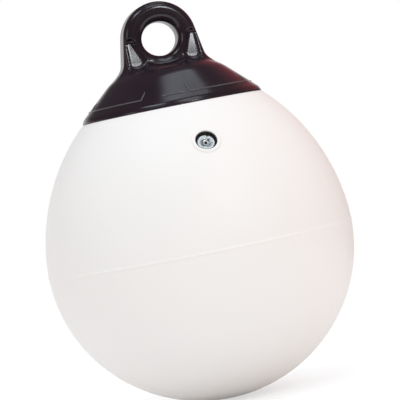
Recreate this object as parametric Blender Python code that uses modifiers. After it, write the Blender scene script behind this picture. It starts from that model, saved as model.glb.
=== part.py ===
"""Inflatable mooring buoy: a hollow vinyl ball, the moulded cap that carries its rope eye, and its air valve.

The origin is the centre of the rope eye. The eye runs through along Y and the ball hangs below along -Z.
A height called a rise is measured up from the ball's equator, where its two mould halves met.
"""
import math

import bmesh
import bpy
from mathutils import Matrix, Vector

# The ball: its lower half is an ellipse, its upper half a slightly leaner egg
EQUATOR_RADIUS = 0.1525
BASE_DROP = 0.1515
CROWN_RISE = 0.1794
SHOULDER_POWER = 1.9
WALL = 0.003
SEAM_WIDTH = 0.0024
SEAM_RISE = 0.0006

# The recessed seat round the crown that takes the cap flush
COLLAR_RISE = 0.141
SEAT_DEPTH = 0.003
SEAT_FADE = math.radians(9)

# The cap: a conical skirt with a banded lip, and a flat deck inside a broad chamfer
CLEARANCE = 0.0003
HEAD_THICKNESS = 0.0046
DECK_RADIUS = 0.046
DECK_ROUND = 0.004
CHAMFER_RADIUS = 0.057
CHAMFER_DROP = 0.0062
CHAMFER_ROUND = 0.012
LIP_PROUD = 0.0008
LIP_ROUND = 0.0009
BAND_HEIGHT = 0.004
BAND_SLOPE = math.radians(26)
BAND_ROUND = 0.0015

# The lug that stands on the deck, and its eye
EYE_LIFT = 0.0294
EYE_HALF_WIDTH = 0.0183
EYE_HALF_HEIGHT = 0.0168
EYE_LIP = 0.009
LUG_RADIUS = 0.037
LUG_THICKNESS = 0.030
LUG_EDGE = 0.006
FOOT_INSET = 0.003
FOOT_BURIAL = 0.85

# The lug's foot: a low ramp that runs far out over the deck in front and behind, and little at the sides
FOOT_RISE = 0.0095
FOOT_REACH = 0.024
FOOT_SPREAD = 0.0025
FOOT_BASE_POWER = 2.6
FOOT_TOP_POWER = 6.0

# Tapered flutes beside the eye, two on each face, leaning in towards their lower ends
FLUTE_BOTTOM_OFFSET = 0.0288
FLUTE_TOP_OFFSET = 0.0318
FLUTE_BOTTOM_RADIUS = 0.0075
FLUTE_TOP_RADIUS = 0.0035
FLUTE_BOTTOM_DEPTH = 0.006
FLUTE_TOP_DEPTH = 0.0015
FLUTE_BOTTOM_LIFT = 0.008
FLUTE_LENGTH = 0.020

# Fine raised lines round the skirt: open trays with ticked ends, and a dash off the middle of each gap
RELIEF_COUNT = 4
RELIEF_LIFT = 0.0112
RELIEF_RADIUS = 0.0008
RELIEF_TURN = math.radians(-14.7)
TRAY_SPAN = math.radians(55.6)
TICK_HEIGHT = 0.0075
TICK_LEAN = math.radians(2)
DASH_SPAN = math.radians(16.7)
DASH_SHIFT = math.radians(5)

# The valve well in the ball's shoulder, straight below one face of the lug
VALVE_RISE = 0.1029
VALVE_BORE = 0.0104
VALVE_LIP_RADIUS = 0.0134
VALVE_LIP_RISE = 0.0008
MOUTH_ROUND = 0.0005
LIP_ROOT_SHARE = 0.55
BOSS_TOP_SHARE = 0.85
BOSS_RADIUS = 0.018
BOSS_DEPTH = 0.016
BOSS_ROUND = 0.002
RIB_RADIUS = 0.0126
RIB_DEPTH = 0.009
RIB_HEIGHT = 0.0036
RIB_ROUND = 0.0008

# The rubber bush, the slotted screw and the septum, each set down from the ball's skin
BUSH_SINK = 0.0031
BUSH_TAIL = 0.002
BUSH_ROUND = 0.0004
HEAD_SINK = 0.0035
HEAD_RADIUS = 0.00845
HEAD_HEIGHT = 0.003
HEAD_ROUND = 0.0004
SPIGOT_RADIUS = 0.006
SPIGOT_LENGTH = 0.0045
COUNTERBORE_RADIUS = 0.0037
COUNTERBORE_DEPTH = 0.0014
NEEDLE_RADIUS = 0.0014
SLOT_WIDTH = 0.0015
SLOT_DEPTH = 0.0012
SLOT_TURN = math.radians(-22)
SEPTUM_RADIUS = 0.005
SEPTUM_HEIGHT = 0.0042
DIMPLE_RADIUS = 0.0016
DIMPLE_DEPTH = 0.001
AIR_HOLE_RADIUS = 0.002

# How finely round shapes are divided, and how close points are welded
WELD_DISTANCE = 0.00001
BALL_STEPS = 56
BOSS_STEPS = 32
VALVE_STEPS = 24
FLUTE_STEPS = 16
EYE_STEPS = 36
SHOULDER_ROWS = 11
BASE_ROWS = 10
CROWN_ROWS = 6
CHAMBER_ROWS = 14
LUG_ARC_STEPS = 22
ROUND_STEPS = 3
FOOT_ROWS = 5
FOOT_STEPS = 44
TRAY_STEPS = 6
DASH_STEPS = 2

# Heights that follow from the ones above
DECK_RISE = CROWN_RISE - SEAT_DEPTH + HEAD_THICKNESS
EYE_RISE = DECK_RISE + EYE_LIFT
LUG_FOOT = DECK_RADIUS - FOOT_INSET
SHOULDER_SHARE = (COLLAR_RISE / CROWN_RISE) ** (SHOULDER_POWER / 2)
LIP_TURN = math.asin(SHOULDER_SHARE)


def clear_scene():
    """Remove every object, so that the buoy stands alone."""
    for old in list(bpy.data.objects):
        bpy.data.objects.remove(old, do_unlink=True)


def new_collection(name):
    """Add a collection to the scene."""
    group = bpy.data.collections.new(name)
    bpy.context.scene.collection.children.link(group)
    return group


clear_scene()
PIECES = new_collection("inflatable_buoy")
CUTTERS = new_collection("cutters_and_guides")


def material(name, colour, roughness, metallic=0.0):
    """Make a Principled material."""
    made = bpy.data.materials.new(name)
    made.use_nodes = True
    shader = made.node_tree.nodes["Principled BSDF"]
    shader.inputs["Base Color"].default_value = (*colour, 1.0)
    shader.inputs["Roughness"].default_value = roughness
    shader.inputs["Metallic"].default_value = metallic
    return made


def add_frame(name, place, parent=None):
    """Add an empty that pieces are placed against."""
    frame = bpy.data.objects.new(name, None)
    frame.empty_display_size = 0.02
    frame.matrix_basis = place
    frame.parent = parent
    PIECES.objects.link(frame)
    return frame


def add_piece(name, mesh, frame, finish):
    """Add a piece of the buoy."""
    piece = bpy.data.objects.new(name, mesh)
    piece.parent = frame
    PIECES.objects.link(piece)
    mesh.materials.append(finish)
    return piece


def add_guide(name, mesh, frame):
    """Add a shape that only cuts or joins another."""
    guide = bpy.data.objects.new(name, mesh)
    guide.parent = frame
    guide.hide_render = True
    guide.display_type = 'WIRE'
    CUTTERS.objects.link(guide)
    return guide


def spread(first, last, count):
    """Give count + 1 values in even steps."""
    return [first + (last - first) * step / count for step in range(count + 1)]


def rounded(corners):
    """Turn (x, y, radius) corners into an outline, with an arc at each corner that has a radius."""
    outline = []
    for index, (x, y, radius) in enumerate(corners):
        corner = Vector((x, y))
        if radius == 0.0:
            outline.append((x, y))
            continue
        before = Vector(corners[index - 1][:2]) - corner
        after = Vector(corners[(index + 1) % len(corners)][:2]) - corner
        half = before.angle(after) / 2
        run = min(radius / math.tan(half), before.length / 2, after.length / 2)
        before.normalize()
        after.normalize()
        centre = corner + (before + after).normalized() * run / math.cos(half)
        start = corner + before * run - centre
        end = corner + after * run - centre
        sweep = math.atan2(start.x * end.y - start.y * end.x, start.dot(end))
        for turn in spread(0.0, sweep, ROUND_STEPS):
            cosine, sine = math.cos(turn), math.sin(turn)
            outline.append((centre.x + start.x * cosine - start.y * sine,
                            centre.y + start.x * sine + start.y * cosine))
    return outline


def profile_mesh(name, chains):
    """Make the edges of profiles of (radius, height) points; a chain that starts off the axis is a loop."""
    mesh = bpy.data.meshes.new(name)
    shape = bmesh.new()
    for chain in chains:
        points = [shape.verts.new((radius, 0.0, height)) for radius, height in chain]
        for here, following in zip(points, points[1:]):
            shape.edges.new((here, following))
        if chain[0][0] > 0.0:
            shape.edges.new((points[-1], points[0]))
    shape.to_mesh(mesh)
    shape.free()
    return mesh


def turn_profile(piece, steps):
    """Spin a profile about its own Z axis."""
    screw = piece.modifiers.new("turn", 'SCREW')
    screw.axis = 'Z'
    screw.angle = math.tau
    screw.steps = steps
    screw.render_steps = steps
    screw.use_merge_vertices = True
    screw.merge_threshold = 0.0001
    screw.use_smooth_shade = True


def join_or_cut(piece, operation, other):
    """Add an exact Boolean with another object."""
    boolean = piece.modifiers.new(other.name, 'BOOLEAN')
    boolean.operation = operation
    boolean.solver = 'EXACT'
    boolean.object = other


def curve_to_guide(curve, name, frame):
    """Make a closed mesh guide of a curve, and remove the curve."""
    bpy.context.view_layer.update()
    graph = bpy.context.evaluated_depsgraph_get()
    mesh = bpy.data.meshes.new_from_object(curve.evaluated_get(graph))
    mesh.name = name
    shape = bmesh.new()
    shape.from_mesh(mesh)
    bmesh.ops.remove_doubles(shape, verts=shape.verts, dist=WELD_DISTANCE)
    bmesh.ops.recalc_face_normals(shape, faces=shape.faces)
    shape.to_mesh(mesh)
    shape.free()
    place = frame.matrix_world.inverted() @ curve.matrix_world
    mesh.transform(place)
    bpy.data.objects.remove(curve, do_unlink=True)
    return add_guide(name, mesh, frame)


def skin(turn, inset=0.0):
    """Give a point (radius, rise) of the ball's outline, moved in along its normal.

    The turn is 90 degrees at the crown, 0 at the equator and -90 degrees at the base.
    """
    power = SHOULDER_POWER if turn > 0.0 else 2.0
    reach = CROWN_RISE if turn > 0.0 else -BASE_DROP
    across = max(math.cos(turn), 0.0) ** (2.0 / power)
    along = abs(math.sin(turn)) ** (2.0 / power)
    normal = Vector((across ** (power - 1.0) / EQUATOR_RADIUS, along ** (power - 1.0) / reach))
    normal.normalize()
    radius = EQUATOR_RADIUS * across - inset * normal.x
    if abs(turn) == math.pi / 2:
        radius = 0.0
    return radius, reach * along - inset * normal.y


def skin_normal(turn):
    """Give the outward normal (radial, upward) of the ball's outline."""
    outer = Vector(skin(turn))
    return (outer - Vector(skin(turn, WALL))).normalized()


def past_lip(inset):
    """Give a point beside the lip's end face, one clearance up the ball from where the seat starts."""
    normal = skin_normal(LIP_TURN)
    radius, rise = skin(LIP_TURN, inset)
    return radius - normal.y * CLEARANCE, rise + normal.x * CLEARANCE


def chamber_inset(turn):
    """Give how far the air chamber lies inside the outline: more where the seat is recessed."""
    share = (turn - LIP_TURN + SEAT_FADE) / SEAT_FADE
    share = min(max(share, 0.0), 1.0)
    return WALL + SEAT_DEPTH * share * share * (3.0 - 2.0 * share)


def ball_profiles():
    """Give the ball's outer profile, top to bottom, and its air chamber's, bottom to top."""
    crown = [skin(turn, SEAT_DEPTH) for turn in spread(math.pi / 2, LIP_TURN, CROWN_ROWS)]
    shoulder = [skin(turn) for turn in spread(LIP_TURN, 0.0, SHOULDER_ROWS)]
    seam = [
        (EQUATOR_RADIUS, SEAM_WIDTH / 2),
        (EQUATOR_RADIUS + SEAM_RISE, 0.0),
        (EQUATOR_RADIUS, -SEAM_WIDTH / 2),
    ]
    base = [skin(turn) for turn in spread(0.0, -math.pi / 2, BASE_ROWS)]
    outer = crown + shoulder[:-1] + seam + base[1:]
    turns = spread(-math.pi / 2, math.pi / 2, CHAMBER_ROWS)
    chamber = [skin(turn, chamber_inset(turn)) for turn in turns]
    return [outer, chamber]


def boss_profile():
    """Give the valve boss: a raised lip outside, a step within the wall, and a thick post inside."""
    return rounded([
        (0.0, VALVE_LIP_RISE, 0.0),
        (VALVE_LIP_RADIUS, VALVE_LIP_RISE, VALVE_LIP_RISE),
        (VALVE_LIP_RADIUS, -LIP_ROOT_SHARE * WALL, 0.0),
        (BOSS_RADIUS, -BOSS_TOP_SHARE * WALL, 0.0),
        (BOSS_RADIUS, -BOSS_DEPTH, BOSS_ROUND),
        (0.0, -BOSS_DEPTH, 0.0),
    ])


def bore_profile():
    """Give the valve bore with a rounded mouth and the groove for the bush's rib."""
    past = 0.001
    mouth = VALVE_LIP_RISE
    return [
        (0.0, mouth + past),
        (VALVE_BORE + MOUTH_ROUND + past, mouth + past),
        (VALVE_BORE, mouth - MOUTH_ROUND),
        (VALVE_BORE, -RIB_DEPTH),
        (RIB_RADIUS, -RIB_DEPTH),
        (RIB_RADIUS, -RIB_DEPTH - RIB_HEIGHT),
        (VALVE_BORE, -RIB_DEPTH - RIB_HEIGHT),
        (VALVE_BORE, -BOSS_DEPTH - past),
        (0.0, -BOSS_DEPTH - past),
    ]


def make_ball(equator, valve_seat, finish):
    """Make the hollow ball with its seam, cap seat and valve boss."""
    ball = add_piece("ball_shell", profile_mesh("ball_shell", ball_profiles()), equator, finish)
    turn_profile(ball, BALL_STEPS)
    boss = add_guide("valve_boss", profile_mesh("valve_boss", [boss_profile()]), valve_seat)
    turn_profile(boss, BOSS_STEPS)
    join_or_cut(ball, 'UNION', boss)
    bore = add_guide("valve_bore", profile_mesh("valve_bore", [bore_profile()]), valve_seat)
    turn_profile(bore, BOSS_STEPS)
    join_or_cut(ball, 'DIFFERENCE', bore)
    return ball


def skirt_line():
    """Give the two ends (radius, rise) of the skirt's cone, at the chamfer and at the banded lip."""
    lip = past_lip(-LIP_PROUD)
    band_top = (lip[0] - BAND_HEIGHT * math.tan(BAND_SLOPE), lip[1] + BAND_HEIGHT)
    return (CHAMFER_RADIUS, DECK_RISE - CHAMFER_DROP), band_top


def head_profile():
    """Give the cap's turned body: deck, chamfer, skirt, band and lip, then back up its seat."""
    skirt_top, band_top = skirt_line()
    outside = rounded([
        (0.0, DECK_RISE, 0.0),
        (DECK_RADIUS, DECK_RISE, DECK_ROUND),
        (*skirt_top, CHAMFER_ROUND),
        (*band_top, BAND_ROUND),
        (*past_lip(-LIP_PROUD), LIP_ROUND),
        (*past_lip(SEAT_DEPTH - CLEARANCE), 0.0),
    ])
    turns = spread(LIP_TURN, math.pi / 2, CROWN_ROWS)
    seat = [skin(turn, SEAT_DEPTH - CLEARANCE) for turn in turns[1:]]
    return outside + seat


def lug_outline():
    """Give the lug seen through its eye: a round top with flanks that run tangent down to its foot."""
    foot = Vector((LUG_FOOT, -EYE_LIFT))
    touch = math.atan2(foot.y, foot.x) + math.acos(LUG_RADIUS / foot.length)
    arc = [(LUG_RADIUS * math.cos(turn), LUG_RADIUS * math.sin(turn))
           for turn in spread(touch, math.pi - touch, LUG_ARC_STEPS)]
    buried = FOOT_BURIAL * HEAD_THICKNESS
    reach = flank_reach(-buried)
    return [(reach, -EYE_LIFT - buried), *arc, (-reach, -EYE_LIFT - buried)]


def flank_reach(lift):
    """Give the lug's half width at a height above the deck, on its straight flank."""
    distance = math.hypot(LUG_FOOT, EYE_LIFT)
    touch = math.acos(LUG_RADIUS / distance) - math.atan2(EYE_LIFT, LUG_FOOT)
    return LUG_FOOT - lift * math.tan(touch)


def make_lug_plate(eye):
    """Make the lug's plate with rounded edges from its flat outline."""
    curve = bpy.data.curves.new("lug_plate", 'CURVE')
    curve.dimensions = '2D'
    curve.fill_mode = 'BOTH'
    curve.extrude = LUG_THICKNESS / 2 - LUG_EDGE
    curve.bevel_depth = LUG_EDGE
    curve.bevel_resolution = 3
    curve.offset = -LUG_EDGE
    spline = curve.splines.new('POLY')
    outline = lug_outline()
    spline.points.add(len(outline) - 1)
    for point, (x, z) in zip(spline.points, outline):
        point.co = (x, z, 0.0, 1.0)
    spline.use_cyclic_u = True
    plate = bpy.data.objects.new("lug_outline", curve)
    plate.rotation_euler.x = math.pi / 2
    CUTTERS.objects.link(plate)
    return curve_to_guide(plate, "lug_plate", eye)


def foot_section(half_width, half_depth, height, power):
    """Give a rounded section at one height, squarer the higher its power."""
    section = []
    for step in range(FOOT_STEPS):
        turn = math.tau * step / FOOT_STEPS
        cosine, sine = math.cos(turn), math.sin(turn)
        x = half_width * math.copysign(abs(cosine) ** (2.0 / power), cosine)
        y = half_depth * math.copysign(abs(sine) ** (2.0 / power), sine)
        section.append((x, y, height))
    return section


def loft(name, sections):
    """Skin a stack of equal sections, listed from the bottom up, and close its ends."""
    mesh = bpy.data.meshes.new(name)
    shape = bmesh.new()
    rings = [[shape.verts.new(point) for point in section] for section in sections]
    for lower, upper in zip(rings, rings[1:]):
        for here in range(len(lower)):
            there = (here + 1) % len(lower)
            shape.faces.new((lower[here], lower[there], upper[there], upper[here]))
    shape.faces.new(reversed(rings[0]))
    shape.faces.new(rings[-1])
    shape.to_mesh(mesh)
    shape.free()
    return mesh


def make_lug_foot(eye):
    """Make the hollow-curved foot that blends the lug into the deck, rounder the lower it is."""
    skin_depth = 0.0005
    sections = []
    for turn in spread(0.0, math.pi / 2, FOOT_ROWS):
        share = 1.0 - math.cos(turn)
        remaining = 1.0 - math.sin(turn)
        lift = FOOT_RISE * share
        width = flank_reach(lift) - skin_depth + FOOT_SPREAD * remaining
        depth = LUG_THICKNESS / 2 - skin_depth + FOOT_REACH * remaining
        power = FOOT_BASE_POWER + (FOOT_TOP_POWER - FOOT_BASE_POWER) * share
        sections.append(foot_section(width, depth, lift - EYE_LIFT, power))
    buried = [(x, y, z - HEAD_THICKNESS / 3) for x, y, z in sections[0]]
    return add_guide("lug_foot", loft("lug_foot", [buried, *sections]), eye)


def spool_profile():
    """Give the eye's cutter: a throat with a rolled lip at each face, which runs on through the foot."""
    half = LUG_THICKNESS / 2
    past = FOOT_REACH
    steepest = math.radians(78)
    upper = []
    for turn in spread(steepest, 0.0, 2 * ROUND_STEPS):
        radius = EYE_HALF_HEIGHT + EYE_LIP * (1.0 - math.cos(turn))
        upper.append((radius, half - EYE_LIP + EYE_LIP * math.sin(turn)))
    end_radius = EYE_HALF_HEIGHT + EYE_LIP
    upper = [(0.0, half + past), (end_radius, half + past)] + upper
    return upper + [(radius, -height) for radius, height in reversed(upper)]


def make_eye_cutter(eye):
    """Make the spool that cuts the oval rope eye."""
    spool = add_guide("eye_cutter", profile_mesh("eye_cutter", [spool_profile()]), eye)
    spool.rotation_euler.x = math.pi / 2
    spool.scale.x = EYE_HALF_WIDTH / EYE_HALF_HEIGHT
    turn_profile(spool, EYE_STEPS)
    return spool


def drop_profile(length):
    """Give a drop: a large round end below a small one, with the cone that touches both."""
    half = length / 2
    touch = math.asin((FLUTE_BOTTOM_RADIUS - FLUTE_TOP_RADIUS) / length)
    top = [(FLUTE_TOP_RADIUS * math.cos(turn), half + FLUTE_TOP_RADIUS * math.sin(turn))
           for turn in spread(math.pi / 2, touch, 2 * ROUND_STEPS)]
    bottom = [(FLUTE_BOTTOM_RADIUS * math.cos(turn), FLUTE_BOTTOM_RADIUS * math.sin(turn) - half)
              for turn in spread(touch, -math.pi / 2, 3 * ROUND_STEPS)]
    return [(0.0, top[0][1])] + top[1:] + bottom[:-1] + [(0.0, bottom[-1][1])]


def make_flute_cutters(eye):
    """Make the four drops that sink the flutes beside the eye."""
    half = LUG_THICKNESS / 2
    low_depth = half - FLUTE_BOTTOM_DEPTH + FLUTE_BOTTOM_RADIUS
    high_depth = half - FLUTE_TOP_DEPTH + FLUTE_TOP_RADIUS
    height = FLUTE_BOTTOM_LIFT - EYE_LIFT
    cutters = []
    for face in (-1.0, 1.0):
        for side in (-1.0, 1.0):
            low = Vector((side * FLUTE_BOTTOM_OFFSET, face * low_depth, height))
            high = Vector((side * FLUTE_TOP_OFFSET, face * high_depth, height + FLUTE_LENGTH))
            name = f"flute_cutter_{len(cutters) + 1}"
            drop = add_guide(name, profile_mesh(name, [drop_profile((high - low).length)]), eye)
            drop.location = (low + high) / 2
            drop.rotation_euler = (high - low).to_track_quat('Z', 'Y').to_euler()
            turn_profile(drop, FLUTE_STEPS)
            cutters.append(drop)
    return cutters


def on_skirt(turn, lift):
    """Give a point on the skirt's cone at a height above the lip."""
    (deck_radius, deck_rise), (band_radius, band_rise) = skirt_line()
    share = (COLLAR_RISE + lift - band_rise) / (deck_rise - band_rise)
    radius = band_radius + (deck_radius - band_radius) * share
    return radius * math.sin(turn), -radius * math.cos(turn), COLLAR_RISE + lift


def relief_paths():
    """Give the paths of the raised lines: trays with a tick at each end, and a dash in each gap."""
    paths = []
    for quarter in range(RELIEF_COUNT):
        gap = RELIEF_TURN + math.tau * quarter / RELIEF_COUNT
        dash_start = gap + DASH_SHIFT - DASH_SPAN / 2
        dash = spread(dash_start, dash_start + DASH_SPAN, DASH_STEPS)
        paths.append([on_skirt(turn, RELIEF_LIFT) for turn in dash])
        middle = gap + math.pi / RELIEF_COUNT
        tray = spread(middle - TRAY_SPAN / 2, middle + TRAY_SPAN / 2, TRAY_STEPS)
        base = [on_skirt(turn, RELIEF_LIFT) for turn in tray]
        first = on_skirt(tray[0] - TICK_LEAN, RELIEF_LIFT + TICK_HEIGHT)
        last = on_skirt(tray[-1] + TICK_LEAN, RELIEF_LIFT + TICK_HEIGHT)
        paths.append([first, *base, last])
    return paths


def make_relief(equator):
    """Make the raised lines as thin beads half sunk in the skirt."""
    curve = bpy.data.curves.new("skirt_relief", 'CURVE')
    curve.dimensions = '3D'
    curve.bevel_depth = RELIEF_RADIUS
    curve.bevel_resolution = 1
    curve.use_fill_caps = True
    for path in relief_paths():
        spline = curve.splines.new('POLY')
        spline.points.add(len(path) - 1)
        for point, place in zip(spline.points, path):
            point.co = (*place, 1.0)
    beads = bpy.data.objects.new("relief_curve", curve)
    beads.parent = equator
    CUTTERS.objects.link(beads)
    return curve_to_guide(beads, "skirt_relief", equator)


def make_cap(equator, eye, finish):
    """Make the one-piece cap: skirt, lug, foot and raised lines, with the eye and flutes cut."""
    cap = add_piece("rope_eye_cap", profile_mesh("rope_eye_cap", [head_profile()]), equator, finish)
    turn_profile(cap, BALL_STEPS)
    join_or_cut(cap, 'UNION', make_lug_plate(eye))
    join_or_cut(cap, 'UNION', make_lug_foot(eye))
    join_or_cut(cap, 'DIFFERENCE', make_eye_cutter(eye))
    for cutter in make_flute_cutters(eye):
        join_or_cut(cap, 'DIFFERENCE', cutter)
    join_or_cut(cap, 'UNION', make_relief(equator))
    return cap


def spigot_end():
    """Give the depth of the screw's lower end below the ball's skin."""
    return HEAD_SINK + HEAD_HEIGHT + SPIGOT_LENGTH


def septum_floor():
    """Give the depth of the septum's seat below the ball's skin."""
    return spigot_end() + CLEARANCE + SEPTUM_HEIGHT + CLEARANCE


def bush_profile():
    """Give the bush: its rib fits the boss's groove, and its stepped bore holds screw and septum."""
    outer = VALVE_BORE - CLEARANCE
    rib = RIB_RADIUS - CLEARANCE
    rib_top = -RIB_DEPTH - CLEARANCE
    rib_bottom = -RIB_DEPTH - RIB_HEIGHT + CLEARANCE
    tail = -BOSS_DEPTH - BUSH_TAIL
    head_floor = -HEAD_SINK - HEAD_HEIGHT - CLEARANCE
    ledge = -spigot_end() - CLEARANCE / 2
    return rounded([
        (outer, -BUSH_SINK, BUSH_ROUND),
        (outer, rib_top, 0.0),
        (rib, rib_top, 0.0),
        (rib, rib_bottom, RIB_ROUND),
        (outer, rib_bottom, 0.0),
        (outer, tail, RIB_ROUND),
        (AIR_HOLE_RADIUS, tail, 0.0),
        (AIR_HOLE_RADIUS, -septum_floor(), 0.0),
        (SEPTUM_RADIUS + CLEARANCE, -septum_floor(), 0.0),
        (SEPTUM_RADIUS + CLEARANCE, ledge, 0.0),
        (SPIGOT_RADIUS + CLEARANCE, ledge, 0.0),
        (SPIGOT_RADIUS + CLEARANCE, head_floor, 0.0),
        (HEAD_RADIUS + CLEARANCE, head_floor, 0.0),
        (HEAD_RADIUS + CLEARANCE, -BUSH_SINK, BUSH_ROUND),
    ])


def screw_profile():
    """Give the slotted screw: head, spigot, needle hole and the counterbore that leads to it."""
    floor = -HEAD_SINK - COUNTERBORE_DEPTH
    under = -HEAD_SINK - HEAD_HEIGHT
    return rounded([
        (COUNTERBORE_RADIUS, -HEAD_SINK, HEAD_ROUND / 2),
        (HEAD_RADIUS, -HEAD_SINK, HEAD_ROUND),
        (HEAD_RADIUS, under, 0.0),
        (SPIGOT_RADIUS, under, 0.0),
        (SPIGOT_RADIUS, -spigot_end(), HEAD_ROUND),
        (NEEDLE_RADIUS, -spigot_end(), 0.0),
        (NEEDLE_RADIUS, floor, 0.0),
        (COUNTERBORE_RADIUS, floor, 0.0),
    ])


def make_slot_cutter(valve_seat):
    """Make the bar that cuts the screwdriver slot across the head."""
    mesh = bpy.data.meshes.new("slot_cutter")
    shape = bmesh.new()
    bmesh.ops.create_cube(shape, size=1.0)
    size = (SLOT_WIDTH, 3 * HEAD_RADIUS, 2 * SLOT_DEPTH)
    bmesh.ops.scale(shape, vec=size, verts=shape.verts)
    shape.to_mesh(mesh)
    shape.free()
    bar = add_guide("slot_cutter", mesh, valve_seat)
    bar.location.z = -HEAD_SINK
    bar.rotation_euler.z = SLOT_TURN
    return bar


def septum_profile():
    """Give the septum, with a dimple that guides the needle."""
    top = -spigot_end() - CLEARANCE
    return [
        (0.0, top - DIMPLE_DEPTH),
        (DIMPLE_RADIUS, top),
        (SEPTUM_RADIUS, top),
        (SEPTUM_RADIUS, top - SEPTUM_HEIGHT),
        (0.0, top - SEPTUM_HEIGHT),
    ]


def make_valve(valve_seat, rubber, nickel, septum_rubber):
    """Make the bush, the slotted screw and the septum below it."""
    bush = add_piece("valve_body", profile_mesh("valve_body", [bush_profile()]), valve_seat, rubber)
    turn_profile(bush, VALVE_STEPS)
    screw = add_piece("valve_screw", profile_mesh("valve_screw", [screw_profile()]), valve_seat, nickel)
    turn_profile(screw, VALVE_STEPS)
    join_or_cut(screw, 'DIFFERENCE', make_slot_cutter(valve_seat))
    septum = add_piece("valve_septum", profile_mesh("valve_septum", [septum_profile()]), valve_seat,
                       septum_rubber)
    turn_profile(septum, VALVE_STEPS)


def valve_place():
    """Give the valve's place: its origin on the skin and its Z axis along the skin's normal, towards -Y."""
    turn = math.asin((VALVE_RISE / CROWN_RISE) ** (SHOULDER_POWER / 2))
    radius, rise = skin(turn)
    normal = skin_normal(turn)
    tip = math.atan2(normal.x, normal.y)
    return Matrix.Translation((0.0, -radius, rise)) @ Matrix.Rotation(tip, 4, 'X')


def build():
    """Build the whole buoy."""
    vinyl = material("white_vinyl", (0.86, 0.86, 0.85), 0.3)
    black_vinyl = material("black_vinyl", (0.022, 0.016, 0.019), 0.2)
    rubber = material("black_rubber", (0.015, 0.015, 0.015), 0.5)
    septum_rubber = material("septum_rubber", (0.03, 0.03, 0.03), 0.6)
    nickel = material("nickel_plate", (0.72, 0.71, 0.69), 0.3, 1.0)
    eye = add_frame("rope_eye_frame", Matrix.Identity(4))
    equator = add_frame("equator_frame", Matrix.Translation((0.0, 0.0, -EYE_RISE)), eye)
    valve_seat = add_frame("valve_frame", valve_place(), equator)
    bpy.context.view_layer.update()
    make_ball(equator, valve_seat, vinyl)
    make_cap(equator, eye, black_vinyl)
    make_valve(valve_seat, rubber, nickel, septum_rubber)


build()
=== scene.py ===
# %% [markdown]
# # An inflatable buoy, dressed for its picture
# The buoy is a hollow ball of white vinyl under a cap of black vinyl. The cap carries a lug with a
# rope eye, and an air valve is sunk in the ball's shoulder. The solids in the frame already have the
# right sizes, but their surfaces are made of flat facets. This lesson builds fine surfaces over them,
# gives each one its finish, and then sets up a pale studio and the camera.

# %% Load the frame
import math

import bmesh
import bpy
import numpy as np
from mathutils import Matrix, Vector


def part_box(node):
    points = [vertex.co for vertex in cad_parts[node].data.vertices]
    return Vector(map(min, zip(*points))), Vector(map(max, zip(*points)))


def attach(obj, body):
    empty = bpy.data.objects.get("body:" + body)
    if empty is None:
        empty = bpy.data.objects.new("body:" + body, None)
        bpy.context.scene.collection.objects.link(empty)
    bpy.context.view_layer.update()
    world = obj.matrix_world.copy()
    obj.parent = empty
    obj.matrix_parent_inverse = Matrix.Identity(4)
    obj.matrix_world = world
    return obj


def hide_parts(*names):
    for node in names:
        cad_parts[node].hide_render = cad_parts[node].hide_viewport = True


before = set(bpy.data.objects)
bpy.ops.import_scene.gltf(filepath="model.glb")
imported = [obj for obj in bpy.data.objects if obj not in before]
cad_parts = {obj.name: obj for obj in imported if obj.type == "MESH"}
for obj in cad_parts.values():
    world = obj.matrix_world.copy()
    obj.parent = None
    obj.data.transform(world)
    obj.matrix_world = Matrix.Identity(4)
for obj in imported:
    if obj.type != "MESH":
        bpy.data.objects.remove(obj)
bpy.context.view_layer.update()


print("nodes in the frame:", sorted(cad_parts))

# %% [markdown]
# ## Sizes that the whole lesson uses
# Everything is in metres, and the origin is the centre of the rope eye. The ball's own sizes are
# read from its solid, so the fine surface can't drift away from it. A rise is a height above the
# ball's equator, where the two halves of its mould met.

# %% Read the ball's sizes from its solid
MM = 0.001
ball_low, ball_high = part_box("ball_shell")
cap_low, cap_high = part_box("rope_eye_cap")

SEAM_RISE = 0.6 * MM
EQUATOR_RADIUS = (ball_high.x - ball_low.x) / 2 - SEAM_RISE
BASE_DROP = 151.5 * MM
CROWN_RISE = 179.4 * MM
EGG_POWER = 1.9
EQUATOR_Z = ball_low.z + BASE_DROP
WALL = 3.0 * MM
COLLAR_RISE = 141.0 * MM
SEAT_DEPTH = 3.0 * MM
COLLAR_TURN = math.asin((COLLAR_RISE / CROWN_RISE) ** (EGG_POWER / 2))
print("equator radius", round(EQUATOR_RADIUS / MM, 1), "mm")
print("equator at z", round(EQUATOR_Z / MM, 1), "mm")

# %% [markdown]
# ## The ball's outline as a formula
# A blown ball under a cap isn't a sphere: its upper half is drawn up into an egg. Its lower half is
# an ellipse, and its upper half is a superellipse, which is an ellipse with another power than 2.
# One function gives points on the outline, and a second gives the distance of any point from it.
# The distance is what a modeller needs to lay one surface on another.

# %% Give points on the outline and distances from it
def outline_point(turn, inset=0.0):
    """Radius and rise, moved in by an inset, at a turn from 90 degrees (crown) to -90 (base)."""
    power = EGG_POWER if turn > 0 else 2.0
    reach = CROWN_RISE if turn > 0 else -BASE_DROP
    across = max(math.cos(turn), 0.0) ** (2 / power)
    along = abs(math.sin(turn)) ** (2 / power)
    normal = Vector((across ** (power - 1) / EQUATOR_RADIUS, along ** (power - 1) / reach))
    normal.normalize()
    return EQUATOR_RADIUS * across - inset * normal.x, reach * along - inset * normal.y


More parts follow.
